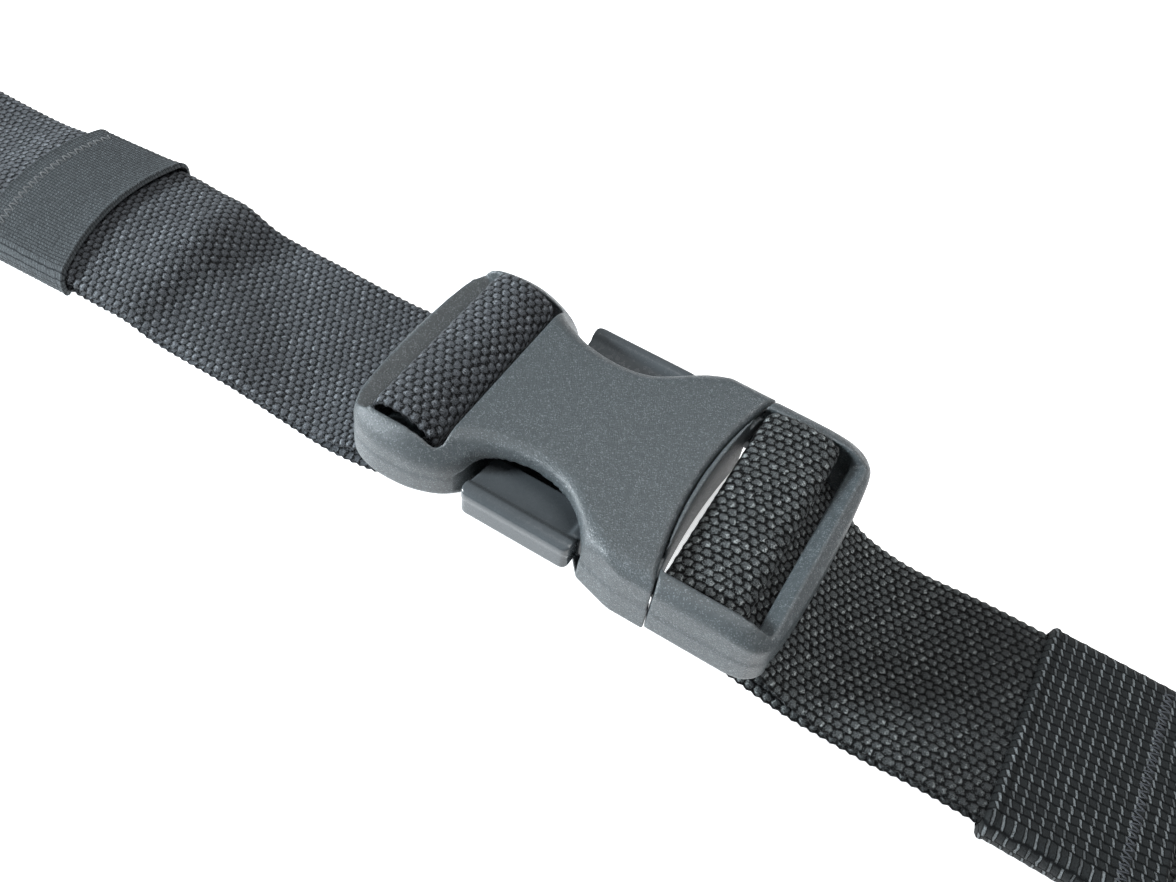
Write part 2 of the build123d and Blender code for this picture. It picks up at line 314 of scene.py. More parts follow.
def window_bar(x, y, z, span, top):
    """Round-edged bar across a webbing window."""
    across = meet(slab(x, *span), slab(z, top - BAR_H, top), 2.7)
    return np.maximum(across, abs(y) - WINDOW_HALF_W - 1.5)


def make_socket():
    """One moulding: end bar, rails, middle bar, and a hollow body open at mouth and sides."""
    low = (-END - 2, -SIDE - 2, -DEEP - 2)
    x, y, z = grid(low, (MOUTH_SIDE + 2, SIDE + 2, 2), FINE)
    side = outline_distance(x, y, socket_side_outline())
    crest = outline_distance(x, y, socket_crest_outline())
    wall = side + parting_step(z)
    fall = (z + SHOULDER_SLOPE * crest) / SHOULDER_NORMAL
    body = meet(wall, meet(z, fall, 1.6), 1.3)
    body = np.maximum(body, np.where(x > 11, meet(abs(y) - SIDE, z, SIDE_ROLL), -1))
    body = meet(body, underside(z, crest), 1.6)
    body = cut(body, rounded_slot(x, y, SOCKET_WINDOW, WINDOW_HALF_W, 2.6), WINDOW_EDGE)
    body = cut(body, end_bar_cut(x, y, z, -END, SOCKET_WINDOW[0] + 0.6), 0.5)
    under = np.maximum(x - SOCKET_WINDOW[0] - 1, abs(y) - WINDOW_HALF_W)
    under = np.maximum(under, z + END_BAR_DEEP)
    body = cut(body, under, 0.5)
    cavity = meet(slab(x, CAVITY_X, 60), slab(z, PLATE - DEEP, -PLATE), 2.2)
    cavity = np.maximum(np.maximum(cavity, abs(y) - CAVITY_HALF_W), fall + 2.2)
    shoulder_y = LATCH_HALF_W + LATCH_WIDEN * (x - LATCH_X)
    cavity = np.maximum(cavity, np.where(x > LATCH_X + 1, abs(y) - shoulder_y, -1))
    recess = np.maximum(np.maximum(RECESS_X - x, abs(y) - RECESS_HALF_W), z - RECESS_TOP)
    opening = meet(slab(x, CAVITY_X + 2.5, LATCH_X), slab(z, PLATE - DEEP, -PLATE - 0.6), 1.5)
    opening = np.maximum(np.maximum(opening, 15 - abs(y)), fall + 1.9)
    body = cut(body, np.minimum(np.minimum(cavity, opening), recess), 0.35)
    rib = np.maximum(slab(abs(y), *GUIDE_RIB), slab(x, *GUIDE_RIB_X))
    body = join(body, np.maximum(rib, slab(z, 1 - DEEP, -1)), 0.5)
    body = join(body, window_bar(x, y, z, SOCKET_BAR, SOCKET_BAR_TOP), 0.5)
    return surface("socket_shell", body, np.array(low) + (0, 0, TOP), FINE)


# ------------------------------------------------------------ plug
PLUG_X = 27.7
CROSS = (15.5, 24.0)
CROSS_SIDE_X = 26.2
CROSS_BOTTOM = -8.8         # underside of the cross member where it shows in the window
ARM_ROOT_X = 18.0
ROOT_GAP = 0.8              # room in which an arm's root swings
ROOT_SPAN = (17.6, 27.0)    # across the belt, the notch in which it swings
END_BOW = 0.7               # bow of the plug's free end
PLUG_SINK = 0.2             # plug's face below the socket's
TONGUE_HALF_W = 5.8


def plug_side_outline():
    """Plug frame seen from above, with round corners at its free end."""
    corner = through([(46.5, 31.0), (50.3, 30.2), (53.0, 27.8), (54.1, 24.0), (54.6, 19.0)])
    end = [(END + END_BOW * (1 - (y / 22) ** 2), y) for y in np.linspace(15, 0, 5)]
    return mirrored(np.vstack([[(0.0, 0), (0.0, SIDE)], corner, end]))


def plug_crest_outline():
    """Edge of the flat top of the plug's rails, which narrows towards the free end."""
    rail = through([(10.0, 29.6), (36.0, 29.2), (42.0, 28.4), (46.5, 26.8), (49.0, 24.0)])
    return mirrored(np.vstack([[(10.0, 0)], rail, [(49.0, 0)]]))


def plug_window(x, y):
    """Plan distance of the plug's window, whose left edge follows the socket's mouth."""
    left_edge = CROSS[1] + (CROSS_SIDE_X - CROSS[1]) * (y / WINDOW_HALF_W) ** 2
    return meet(np.maximum(left_edge - x, x - PLUG_WINDOW_RIGHT), abs(y) - WINDOW_HALF_W, 1.6)


def make_plug():
    """One moulding: rails, end bar, middle bar, cross member and centre tongue."""
    low = (-10, -SIDE - 2, -DEEP - 2)
    x, y, z = grid(low, (END + 2, SIDE + 2, 2), FINE)
    side = outline_distance(x, y, plug_side_outline())
    crest = outline_distance(x, y, plug_crest_outline())
    body = meet(side + parting_step(z), z + PLUG_SINK, SIDE_ROLL)
    body = meet(body, falling_top(z + PLUG_SINK, crest, 0.8, 1.6), 0.8)
    body = meet(body, underside(z, side + 3.4), 1.6)
    body = meet(body, mouth_x(y) + GAP - x, 0.4)
    thick = slab(z, PLATE + 1.5 - DEEP, -PLATE - 1.5)
    cross = np.maximum(slab(x, CROSS[0], PLUG_X + 4), abs(y) - 28.0)
    notch = np.maximum(x - ARM_ROOT_X - ROOT_GAP, slab(abs(y), *ROOT_SPAN))
    cross = np.maximum(cut(cross, notch), np.where(x > RECESS_X + 0.7, CROSS_BOTTOM - z, -1))
    body = join(body, meet(cross, thick, 0.5), 0.3)
    body = cut(body, plug_window(x, y), WINDOW_EDGE)
    body = cut(body, end_bar_cut(x, y, z, END, PLUG_WINDOW_RIGHT - 0.6), 0.5)
    under = np.maximum(PLUG_WINDOW_RIGHT - 1 - x, abs(y) - WINDOW_HALF_W)
    under = np.maximum(under, z + END_BAR_DEEP)
    body = cut(body, under, 0.5)
    tongue_side = abs(y) - TONGUE_HALF_W - np.minimum(0, x + 6) * 0.9
    tongue = np.maximum(slab(x, -8, CROSS[0] + 2), tongue_side)
    body = join(body, meet(tongue, thick, 0.8), 0.4)
    body = join(body, window_bar(x, y, z, PLUG_BAR, PLUG_BAR_TOP), 0.5)
    return surface("plug_frame", body, np.array(low) + (0, 0, TOP), FINE)


# ------------------------------------------------------------ release arms
BUTTON = (-19.8, 7.4)
BUTTON_OUT, BUTTON_IN = 30.2, 16.0
BUTTON_TOP, BUTTON_BOTTOM = -6.2, -13.8
STEM = (20.5, 25.4)
ARM_STEP = 0.33             # grid step of the arms' meshes
RIDGE_R = 1.6               # radius of the ridge along the button's outer edge


def make_arm(name, side):
    """Release arm on one side: a stem in the shell and a dished button with a round ridge."""
    low = (BUTTON[0] - 1, 14.0, BUTTON_BOTTOM - 1)
    x, y, z = grid(low, (ARM_ROOT_X + 1, BUTTON_OUT + 1, BUTTON_TOP + 1), ARM_STEP)
    plan = meet(slab(x, *BUTTON), slab(y, BUTTON_IN, BUTTON_OUT), 1.7)
    fall = np.clip(BUTTON_OUT - 2.6 - y, 0, 20)
    dish = BUTTON_TOP - 0.45 * fall + 0.02 * fall ** 2
    button = meet(meet(plan, z - dish, 0.5), BUTTON_BOTTOM - z, 0.9)
    from_ridge = np.maximum(abs(y - BUTTON_OUT + 1.9) - 0.3, 0)
    ridge = np.hypot(from_ridge, z - BUTTON_TOP + 1.2) - RIDGE_R
    button = join(button, np.maximum(ridge, meet(plan, slab(z, -20, 0), 0.3)), 0.6)
    stem = np.maximum(slab(x, BUTTON[1] - 2, ARM_ROOT_X), slab(y, *STEM))
    stem = meet(stem, slab(z, BUTTON_BOTTOM + 0.6, BUTTON_TOP - 0.6), 0.5)
    body = join(button, stem, 0.8)
    if side < 0:
        body = body[:, ::-1]
        low = (low[0], -(low[1] + (body.shape[1] - 1) * ARM_STEP), low[2])
    return surface(name, body, np.array(low) + (0, 0, TOP), ARM_STEP)


# ------------------------------------------------------------ webbing
RIB = 2.28                  # rib pitch along the webbing
COLUMN = 50.0 / 26          # yarn column pitch across it
RIB_STEPS = 4               # mesh rows in one rib
YARN_RISE = 0.26            # height of a yarn's crown
SCALLOP = 0.22              # how far each rib stands out past the webbing's edge
KEEPER_T = 1.2
LIFT = KEEPER_T + GAP
LOAD_Z = WEB_T / 2
TAIL_Z = LOAD_Z + WEB_T + GAP
RUN_LEFT = -HALF_RUN - BUCKLE_X
RUN_RIGHT = HALF_RUN - BUCKLE_X
KEEPER_LEFT = (KEEPER_L_LOW[0] - BUCKLE_X, KEEPER_L_HIGH[0] - BUCKLE_X)
KEEPER_RIGHT = (KEEPER_R_LOW[0] - BUCKLE_X, KEEPER_R_HIGH[0] - BUCKLE_X)
RAMP = 15.0                 # length in which the webbing rises into a keeper
CROWN = 2.6                 # rise of the belt's middle inside the left keeper
TURN_LENGTH = pi * TURN_R


def bell(x, middle, width):
    """A smooth hump of height 1."""
    return np.exp(-((x - middle) / width) ** 2)


def ramp(x, start, end):
    """0 before start, 1 after end, smooth between."""
    share = np.clip((x - start) / (end - start), 0, 1)
    return share * share * (3 - 2 * share)


def around_bar(bar_top, inner, outer, rise, bulges):
    """Middle line of webbing over a bar, from the inner slot to the outer one.

    The crown stands clear of the bar by rise, and the two sides of the slack loop bulge out.
    """
    away = WEB_T / 2 + GAP
    step = 1 if outer > inner else -1
    top = TOP + bar_top
    crown = top + away + rise
    start, end = inner - step * away, outer + step * away
    first, last = step * bulges[0], step * bulges[1]
    return [
        (start - first * 0.6, top - BAR_H - 1.0), (start - first * 0.9, top - 2.6),
        (start - first + step * 0.15, (top + crown) / 2 - 0.8),
        (start + step * 1.6, crown - 0.8), ((start + end) / 2, crown),
        (end - step * 1.6, crown - 0.8), (end + last - step * 0.15, (top + crown) / 2 - 0.8),
        (end + last * 0.5, top - 3.0), (end, top - BAR_H - 1.0),
    ]


def lifted(near, far, level):
    """Points where webbing rises into a keeper and comes down again."""
    side = 1 if far > near else -1
    return [(near - side * RAMP, level), (near, level + LIFT), ((near + far) / 2, level + LIFT),
            (far, level + LIFT), (far + side * RAMP, level)]


def left_line():
    """Left load strand, wrap over the socket's bar, and tail, as (x, z) points."""
    near, far = KEEPER_LEFT[1] + 12, KEEPER_LEFT[0] - 12
    load = [(RUN_LEFT, LOAD_Z)] + lifted(near, far, LOAD_Z)[::-1]
    load += [(-95.0, LOAD_Z), (-74.0, LOAD_Z), (-56.0, 1.8), (-41.5, 6.5)]
    wrap = around_bar(SOCKET_BAR_TOP, SOCKET_BAR[1], SOCKET_BAR[0], 4.2, (3.0, 0.3))
    tail = [(-49.5, 10.6), (-58.0, 5.4), (-72.0, TAIL_Z), (-95.0, TAIL_Z)]
    tail += lifted(near, far, TAIL_Z)[:3] + [(KEEPER_LEFT[0] + 7, TAIL_Z + LIFT)]
    return through(load + wrap + tail, 12)


def right_line():
    """Right load strand, wrap over the plug's bar, and tail, as (x, z) points."""
    near, far = KEEPER_RIGHT[0] - 12, KEEPER_RIGHT[1] + 11
    load = [(RUN_RIGHT, LOAD_Z)] + lifted(near, far, LOAD_Z)[1:4][::-1]
    load += [(near - RAMP, LOAD_Z), (54.0, 1.4), (37.0, 6.0)]
    wrap = around_bar(PLUG_BAR_TOP, PLUG_BAR[0], PLUG_BAR[1], 2.0, (0.0, 0.8))
    tail = [(48.4, 13.4), (54.5, 8.2), (62.0, 4.8), (74.0, TAIL_Z)]
    tail += lifted(near, far, TAIL_Z)[1:3] + [(KEEPER_RIGHT[1] - 5, TAIL_Z + LIFT)]
    return through(load + wrap + tail, 12)


def turn_line():
    """Right-hand turn from the flat run to the standing run: middle line and width direction."""
    angle = np.radians(np.linspace(0, 180, 181))
    twist = np.radians(90 * ramp(np.degrees(angle), 0, 90))
    outward = np.stack([np.sin(angle), np.cos(angle), 0 * angle], axis=1)
    height = WEB_W / 2 * np.sin(twist) + WEB_T / 2 * np.cos(twist)
    line = (RUN_RIGHT, -TURN_R, 0) + outward * TURN_R
    line[:, 2] = height
    across = outward * np.cos(twist)[:, None]
    across[:, 2] = -np.sin(twist)
    return line, across


def stations(line, across, coarse_length):
    """Ribbon line with even stations, twice as far apart over its first, coarse length."""
    run = np.concatenate([[0], np.cumsum(np.linalg.norm(np.diff(line, axis=0), axis=1))])
    fine = RIB / RIB_STEPS
    coarse = np.arange(0, coarse_length, 2 * fine)
    first_fine = coarse[-1] + 2 * fine if len(coarse) else 0
    at = np.concatenate([coarse, np.arange(first_fine, run[-1] - fine / 2, fine), run[-1:]])
    line = np.stack([np.interp(at, run, line[:, i]) for i in range(3)], axis=1)
    across = np.stack([np.interp(at, run, across[:, i]) for i in range(3)], axis=1)
    across /= np.linalg.norm(across, axis=1)[:, None]
    return at, line, across


def yarn_height(along, across):
    """Height from 0 to 1 of the yarn crowns, staggered by half a rib from column to column."""
    column = np.floor(across / COLUMN + 1e-6)
    crown = np.sin(pi * (along / RIB + 0.5 * (column % 2))) ** 2
    between = abs(across / COLUMN - np.round(across / COLUMN)) < 0.1
    return np.where(between, 0.4, 0.25 + 0.75 * crown)


def quads(a, b, c, d):
    """Quads from four equal arrays of point numbers."""
    return np.stack([a.ravel(), b.ravel(), c.ravel(), d.ravel()], axis=1)


def ribbon(name, line, across, coarse_length=0.0, shape=None):
    """Closed mesh of webbing along a line, with the yarns raised on both faces."""
    at, line, across = stations(line, across, coarse_length)
    columns = int(round(WEB_W / COLUMN)) * 2 + 1
    v = np.linspace(0, WEB_W, columns)
    off = v - WEB_W / 2
    heading = np.gradient(line, axis=0)
    normal = np.cross(heading, across)
    normal /= np.linalg.norm(normal, axis=1)[:, None]
    edge = np.sqrt(np.clip(1 - np.abs(2 * off / WEB_W) ** 28, 0.12, 1))
    at_edge = np.where(abs(off) > WEB_W / 2 - 0.1, np.sign(off), 0)
    scallop = SCALLOP * np.cos(2 * pi * at / RIB)[:, None] * at_edge
    middle = line[:, None] + across[:, None] * (off + scallop)[:, :, None]
    sides = []
    for side in (1, -1):
        rise = YARN_RISE * yarn_height(at[:, None] + RIB / 4 * (side - 1), v[None, :])
        half = edge * (WEB_T / 2 - YARN_RISE + rise)
        sides.append(middle + side * normal[:, None] * half[:, :, None])
    if shape is not None:
        sides = [shape(face) for face in sides]
    rows = len(at)
    points = np.concatenate([face.reshape(-1, 3) for face in sides])
    top = np.arange(rows * columns).reshape(rows, columns)
    under = top + rows * columns
    faces = np.vstack([
        quads(top[:-1, :-1], top[1:, :-1], top[1:, 1:], top[:-1, 1:]),
        quads(under[:-1, :-1], under[:-1, 1:], under[1:, 1:], under[1:, :-1]),
        quads(top[:-1, -1], top[1:, -1], under[1:, -1], under[:-1, -1]),
        quads(top[1:, 0], top[:-1, 0], under[:-1, 0], under[1:, 0]),
        quads(top[0, :-1], top[0, 1:], under[0, 1:], under[0, :-1]),
        quads(top[-1, 1:], top[-1, :-1], under[-1, :-1], under[-1, 1:]),
    ])
    piece = new_mesh(name, to_row(points), faces)
    u = np.repeat(at, columns)
    uv = [np.stack([u + shift, np.tile(v, rows)], axis=1) for shift in (0, -RIB / 2)]
    set_uv(piece, np.concatenate(uv))
    return piece, at[-1]


def flat_part(line_xz):
    """A line of (x, z) points as a ribbon line whose width lies across the belt."""
    line = np.stack([line_xz[:, 0], np.zeros(len(line_xz)), line_xz[:, 1]], axis=1)
    return line, np.tile((0.0, 1.0, 0.0), (len(line_xz), 1))


def on_left(line, across):
    """Mirrors a ribbon line of the right-hand turn to the left-hand turn."""
    line = line * (-1, 1, 1)
    line[:, 0] += -2 * BUCKLE_X
    return line, across * (-1, 1, 1)


def left_lift(x, y):
    """Height by which both layers of the left strap stand off the table near the keeper."""
    fall = -58 - 58 * (y + 25) / 50
    return 3.0 * ramp(x, -195, -140) * ramp(x, fall, fall - 36)


def left_rest(points):
    """How the left strap lies: lifted and crowned where the keeper grips it, humped before that."""
    points = points.copy()
    x, y, z = points[..., 0], points[..., 1], points[..., 2]
    low = z < 12
    gripped = ramp(x, -112, -131) * ramp(x, -215, -190)
    rise = gripped * CROWN * (1 - (y / 27) ** 2) + left_lift(x, y)
    tail = z > LOAD_Z + WEB_T / 2 + gripped
    hump = 1.6 * bell(x, -126 - 0.1 * y, 7) * np.where(tail, 1, 0.7)
    points[..., 2] = z + np.where(low & (x < -62), rise + hump, 0)
    return points


def right_rest(points):
    """How the right strap lies: skewed on the plug's bar."""
    points = points.copy()
    x, y, z = points[..., 0], points[..., 1], points[..., 2]
    at_bar = ramp(x, 66, 46)
    points[..., 1] += 0.8 * at_bar
    points[..., 2] += 2.2 * y / 25 * ramp(z, 16, 27) * at_bar
    return points


def make_left_webbing():
    """Left turn, load strand, wrap round the socket's bar, and tail."""
    turn, turn_across = on_left(*turn_line())
    flat, flat_across = flat_part(left_line())
    line = np.vstack([turn[::-1], flat[1:]])
    across = np.vstack([turn_across[::-1], flat_across[1:]])
    return ribbon("webbing_left_weave", line, across, TURN_LENGTH, left_rest)


def make_right_webbing():
    """Right turn, load strand, wrap round the plug's bar, and tail."""
    turn, turn_across = turn_line()
    flat, flat_across = flat_part(right_line())
    line = np.vstack([turn[::-1], flat[1:]])
    across = np.vstack([turn_across[::-1], flat_across[1:]])
    return ribbon("webbing_right_weave", line, across, TURN_LENGTH, right_rest)


def make_back_webbing():
    """Standing run opposite the buckle."""
    x = np.linspace(RUN_LEFT, RUN_RIGHT, 60)
    line = np.stack([x, np.full(60, -2 * TURN_R), np.full(60, WEB_W / 2)], axis=1)
    across = np.tile((0.0, 0.0, 1.0), (60, 1))
    return ribbon("webbing_back_weave", line, across, HALF_RUN * 2 - 5)


# ------------------------------------------------------------ keepers
LEFT_PITCH, LEFT_STITCH = 1.1, 0.95     # rows and stitches of the left keeper's fine knit
RIGHT_EXTRA = 0.8           # how much thicker the right keeper's knit is
BAND_BOW = 4.0              # bow of the left keeper's middle along the belt
BAND_SKEW = 0.15
AROUND = 260                # mesh points round a keeper
KNIT_RISE = 0.16


def ring_section(inner_w, inner_h, r, count):
    """Points and outward directions round a flat ring's inside, starting in the middle below."""
    half_y, half_z = inner_w / 2 - r, inner_h / 2 - r
    straight_y, straight_z, arc = 2 * half_y, 2 * half_z, pi * r / 2
    total = 2 * (straight_y + straight_z) + 4 * arc
    at = np.linspace(0, total, count, endpoint=False)
    runs = [(straight_y / 2, 0), (arc, 1), (straight_z, 0), (arc, 1), (straight_y, 0), (arc, 1),
            (straight_z, 0), (arc, 1), (straight_y / 2, 0)]
    y, z, angle = 0.0, -inner_h / 2, -pi / 2
    points, outs = np.zeros((count, 2)), np.zeros((count, 2))
    start = 0.0
    for length, bends in runs:
        inside = (at >= start - 1e-9) & (at < start + length)
        t = at[inside] - start
        if bends:
            turned = angle - t / r
            centre = np.array((y - r * cos(angle), z - r * sin(angle)))
            outs[inside] = np.stack([np.cos(turned), np.sin(turned)], axis=1)
            points[inside] = centre + r * outs[inside]
            angle -= length / r
            y, z = centre[0] + r * cos(angle), centre[1] + r * sin(angle)
        else:
            along = np.array((sin(angle), -cos(angle)))
            points[inside] = np.array((y, z)) + t[:, None] * along
            outs[inside] = (cos(angle), sin(angle))
            y, z = np.array((y, z)) + length * along
        start += length
    return points, outs, at


def make_keeper(name, span, pitch, stitch, rim, rim_rise, extra, shape):
    """Elastic band sewn into a ring: knitted rows parallel to its rims, thicker at the rims."""
    inner_w, inner_h = WEB_W + 2 * GAP, 2 * WEB_T + 3 * GAP
    points, outs, at = ring_section(inner_w, inner_h, 1.6, AROUND)
    length = span[1] - span[0]
    x = np.linspace(0, length, int(length / pitch * 4) + 1)
    ends = np.minimum(x, length - x)
    profile = np.sqrt(np.clip(1 - (1 - np.clip(ends / (0.9 + extra), 0, 1)) ** 2, 0.02, 1))
    welt = rim_rise * (1 - ramp(ends, rim * 0.6, rim))
    knit = ramp(ends, rim * 0.7, rim) * KNIT_RISE
    rows = np.sin(pi * x / pitch) ** 2
    stagger = np.floor(x / pitch) % 2
    loops = np.sin(pi * (at[:, None] / stitch + 0.5 * stagger[None, :])) ** 2
    outer = (KEEPER_T + extra) * profile + welt * profile + (knit * rows)[None, :] * loops
    inner = KEEPER_T * 0.5 * (1 - profile) + 0 * loops
    middle_z = KEEPER_T + inner_h / 2
    skins = []
    for away in (outer, inner):
        place = points[:, None] + outs[:, None] * away[:, :, None]
        skin = np.empty((AROUND, len(x), 3))
        skin[..., 0] = span[0] + x
        skin[..., 1] = place[..., 0]
        skin[..., 2] = np.maximum(place[..., 1] + middle_z, 0)
        skins.append(shape(skin))
    outside = np.arange(AROUND * len(x)).reshape(AROUND, len(x))
    inside = outside + outside.size
    next_out, next_in = np.roll(outside, -1, axis=0), np.roll(inside, -1, axis=0)
    faces = np.vstack([
        quads(outside[:, :-1], outside[:, 1:], next_out[:, 1:], next_out[:, :-1]),
        quads(inside[:, :-1], next_in[:, :-1], next_in[:, 1:], inside[:, 1:]),
        quads(outside[:, 0], next_out[:, 0], next_in[:, 0], inside[:, 0]),
        quads(outside[:, -1], inside[:, -1], next_in[:, -1], next_out[:, -1]),
    ])
    skins = np.concatenate([skin.reshape(-1, 3) for skin in skins])
    piece = new_mesh(name, to_row(skins), faces[:, ::-1])
    uv = np.stack(np.broadcast_arrays(x[None, :], at[:, None]), axis=-1).reshape(-1, 2)
    set_uv(piece, np.concatenate([uv, uv]))
    return piece


def left_rest_band(points):
    """The skew, bow and crown of the left keeper and of what is sewn on it."""
    points = points.copy()
    x, y = points[..., 0].copy(), points[..., 1]
    points[..., 0] -= BAND_BOW * (1 - (y / 26) ** 2) + BAND_SKEW * (y + 25)
    points[..., 2] += CROWN * (1 - np.minimum(abs(y) / 27, 1) ** 2) + left_lift(points[..., 0], y)
    points[..., 2] += 0.9 * bell(x, KEEPER_LEFT[1] + 1, 5) * ramp(points[..., 2], 3, 6)
    return points


# ------------------------------------------------------------ thread
def threads(name, paths, r):
    """Closed round threads along several paths of points."""
    corners = np.arange(6) * pi / 3
    points, faces = [], []
    first = 0
    for path in paths:
        path = np.asarray(path, dtype=float)
        heading = np.gradient(path, axis=0)
        heading /= np.linalg.norm(heading, axis=1)[:, None]
        side = np.cross(heading, (0.3, 0.2, 1.0))
        side /= np.linalg.norm(side, axis=1)[:, None]
        up = np.cross(side, heading)
        radius = r * np.where(np.arange(len(path)) % (len(path) - 1) == 0, 0.3, 1)
        sideways = side[:, None] * np.cos(corners)[None, :, None]
        upwards = up[:, None] * np.sin(corners)[None, :, None]
        tube = path[:, None] + (sideways + upwards) * radius[:, None, None]
        index = first + np.arange(len(path) * 6).reshape(len(path), 6)
        points.append(tube.reshape(-1, 3))
        nxt = np.roll(index, -1, axis=1)
        faces.append(quads(index[:-1], nxt[:-1], nxt[1:], index[1:]))
        faces.append(index[0][[[0, 5, 4, 3], [0, 3, 2, 1]]])
        faces.append(index[-1][[[0, 1, 2, 3], [0, 3, 4, 5]]])
        first += len(path) * 6
    return new_mesh(name, to_row(np.vstack(points)), np.vstack(faces))


def zigzag(x_span, y_span, z, step, seed, shape):
    """Sewn zigzag across the belt, as one short arched thread for each stitch."""
    rng = np.random.default_rng(seed)
    paths = []
    count = int((y_span[1] - y_span[0]) / step)
    for i in range(count):
        ends = x_span if i % 2 else x_span[::-1]
        y = y_span[0] + i * step
        t = np.linspace(0, 1, 6)[:, None]
        start = np.array((ends[0], y, z)) + rng.normal(0, 0.1, 3) * (1, 1, 0)
        end = np.array((ends[1], y + step, z)) + rng.normal(0, 0.1, 3) * (1, 1, 0)
        path = start + (end - start) * t
        path[:, 2] += 0.28 * np.sin(pi * t[:, 0]) - 0.1
        paths.append(shape(path))
    return paths


def as_is(points):
    """A shape function that changes nothing."""
    return points


# ------------------------------------------------------------ materials
class Graph:
    """A material whose nodes are made by short calls."""

    def __init__(self, name):
        self.material = bpy.data.materials.new(name)
        self.material.use_nodes = True
        self.nodes = self.material.node_tree.nodes
        self.links = self.material.node_tree.links
        self.shader = self.nodes["Principled BSDF"]

    def put(self, socket, value):
        """Links a node's output to an input, or sets the input to a plain value."""
        if isinstance(value, bpy.types.NodeSocket):
            self.links.new(value, socket)
        elif isinstance(value, tuple) and len(value) == 3 and socket.type == "RGBA":
            socket.default_value = (*value, 1)
        else:
            socket.default_value = value

    def node(self, kind, inputs=None, output=0, **settings):
        """Adds one node and returns one of its outputs."""
        node = self.nodes.new(kind)
        for key, value in settings.items():
            setattr(node, key, value)
        for key, value in (inputs or {}).items():
            self.put(node.inputs[key], value)
        return node.outputs[output]

    def math(self, operation, a, b=0.0, c=0.0):
        return self.node("ShaderNodeMath", {0: a, 1: b, 2: c}, operation=operation)

    def times(self, a, b):
        return self.math("MULTIPLY", a, b)

    def plus(self, a, b):
        return self.math("ADD", a, b)

    def clamp_range(self, value, low, high, to_low=0.0, to_high=1.0):
        inputs = {0: value, 1: low, 2: high, 3: to_low, 4: to_high}
        return self.node("ShaderNodeMapRange", inputs, interpolation_type="SMOOTHSTEP")

    def mix(self, share, a, b):
        inputs = {0: share, 6: a, 7: b}
        return self.node("ShaderNodeMix", inputs, output=2, data_type="RGBA")

    def weave(self):
        """Places along and across the webbing, in millimetres."""
        uv = self.node("ShaderNodeUVMap", uv_map="weave")
        return [self.node("ShaderNodeSeparateXYZ", {0: uv}, output=axis) for axis in (0, 1)]

    def place(self):
        """Position on the piece itself, in metres."""
        return self.node("ShaderNodeTexCoord", output=3)

    def noise(self, place, per_mm, detail=2.0, roughness=0.5, stretch=None):
        if stretch:
            place = self.node("ShaderNodeVectorMath", {0: place, 1: stretch}, operation="MULTIPLY")
        inputs = {"Vector": place, "Scale": per_mm / MM, "Detail": detail, "Roughness": roughness}
        return self.node("ShaderNodeTexNoise", inputs)

    def random(self, x, y):
        cell = self.node("ShaderNodeCombineXYZ", {0: x, 1: y})
        return self.node("ShaderNodeTexWhiteNoise", {"Vector": cell}, noise_dimensions="3D")

    def bump(self, height, distance):
        inputs = {"Height": height, "Distance": distance * MM}
        self.put(self.shader.inputs["Normal"], self.node("ShaderNodeBump", inputs))

    def set(self, **values):
        for key, value in values.items():
            self.put(self.shader.inputs[key.replace("_", " ")], value)


def shell_plastic():
    """Grained glass-filled nylon with tiny bright specks, and a painted highlight that lightens its edges.
    """
    g = Graph("shell_plastic")
    place = g.place()
    grain = g.noise(place, 2.6, 3.0, 0.6)
    coarse = g.noise(place, 0.7, 2.0)
    speck = g.node("ShaderNodeTexVoronoi", {"Vector": place, "Scale": 4.6 / MM}, output=1)
    speck_value = g.node("ShaderNodeSeparateColor", {0: speck})
    sparkle = g.clamp_range(speck_value, 0.80, 0.99)
    # Painted highlight: convex edges are made lighter, standing in for light caught on their rounded rims.
    edge = g.clamp_range(g.node("ShaderNodeNewGeometry", output=7), 0.52, 0.60)
    base = g.mix(g.clamp_range(coarse, 0.3, 0.7), (0.036, 0.045, 0.049), (0.046, 0.057, 0.062))
    base = g.mix(g.times(sparkle, 0.5), base, (0.22, 0.25, 0.27))
    base = g.mix(g.times(edge, 0.35), base, (0.15, 0.17, 0.18))
    scratch = g.noise(place, 0.25, 4.0, 0.6, (1.0, 14.0, 1.0))
    rough = g.plus(g.clamp_range(grain, 0.3, 0.7, 0.32, 0.46), g.times(scratch, 0.08))
    rough = g.math("SUBTRACT", rough, g.times(sparkle, 0.12))
    g.set(Base_Color=base, Roughness=rough, IOR=1.5, Specular_IOR_Level=0.7)
    g.bump(g.plus(grain, g.times(speck_value, 0.35)), 0.17)
    return g.material


def arm_plastic():
    """Acetal: smoother and glossier than the shell."""
    g = Graph("arm_plastic")
    place = g.place()
    fine = g.noise(place, 3.5, 2.0)
    wave = g.noise(place, 0.18, 2.0)
    base = g.mix(wave, (0.050, 0.058, 0.063), (0.066, 0.075, 0.081))
    rough = g.clamp_range(g.noise(place, 0.9, 3.0), 0.3, 0.7, 0.20, 0.30)
    g.set(Base_Color=base, Roughness=rough, IOR=1.48)
    g.bump(g.plus(g.times(fine, 0.5), wave), 0.03)
    return g.material


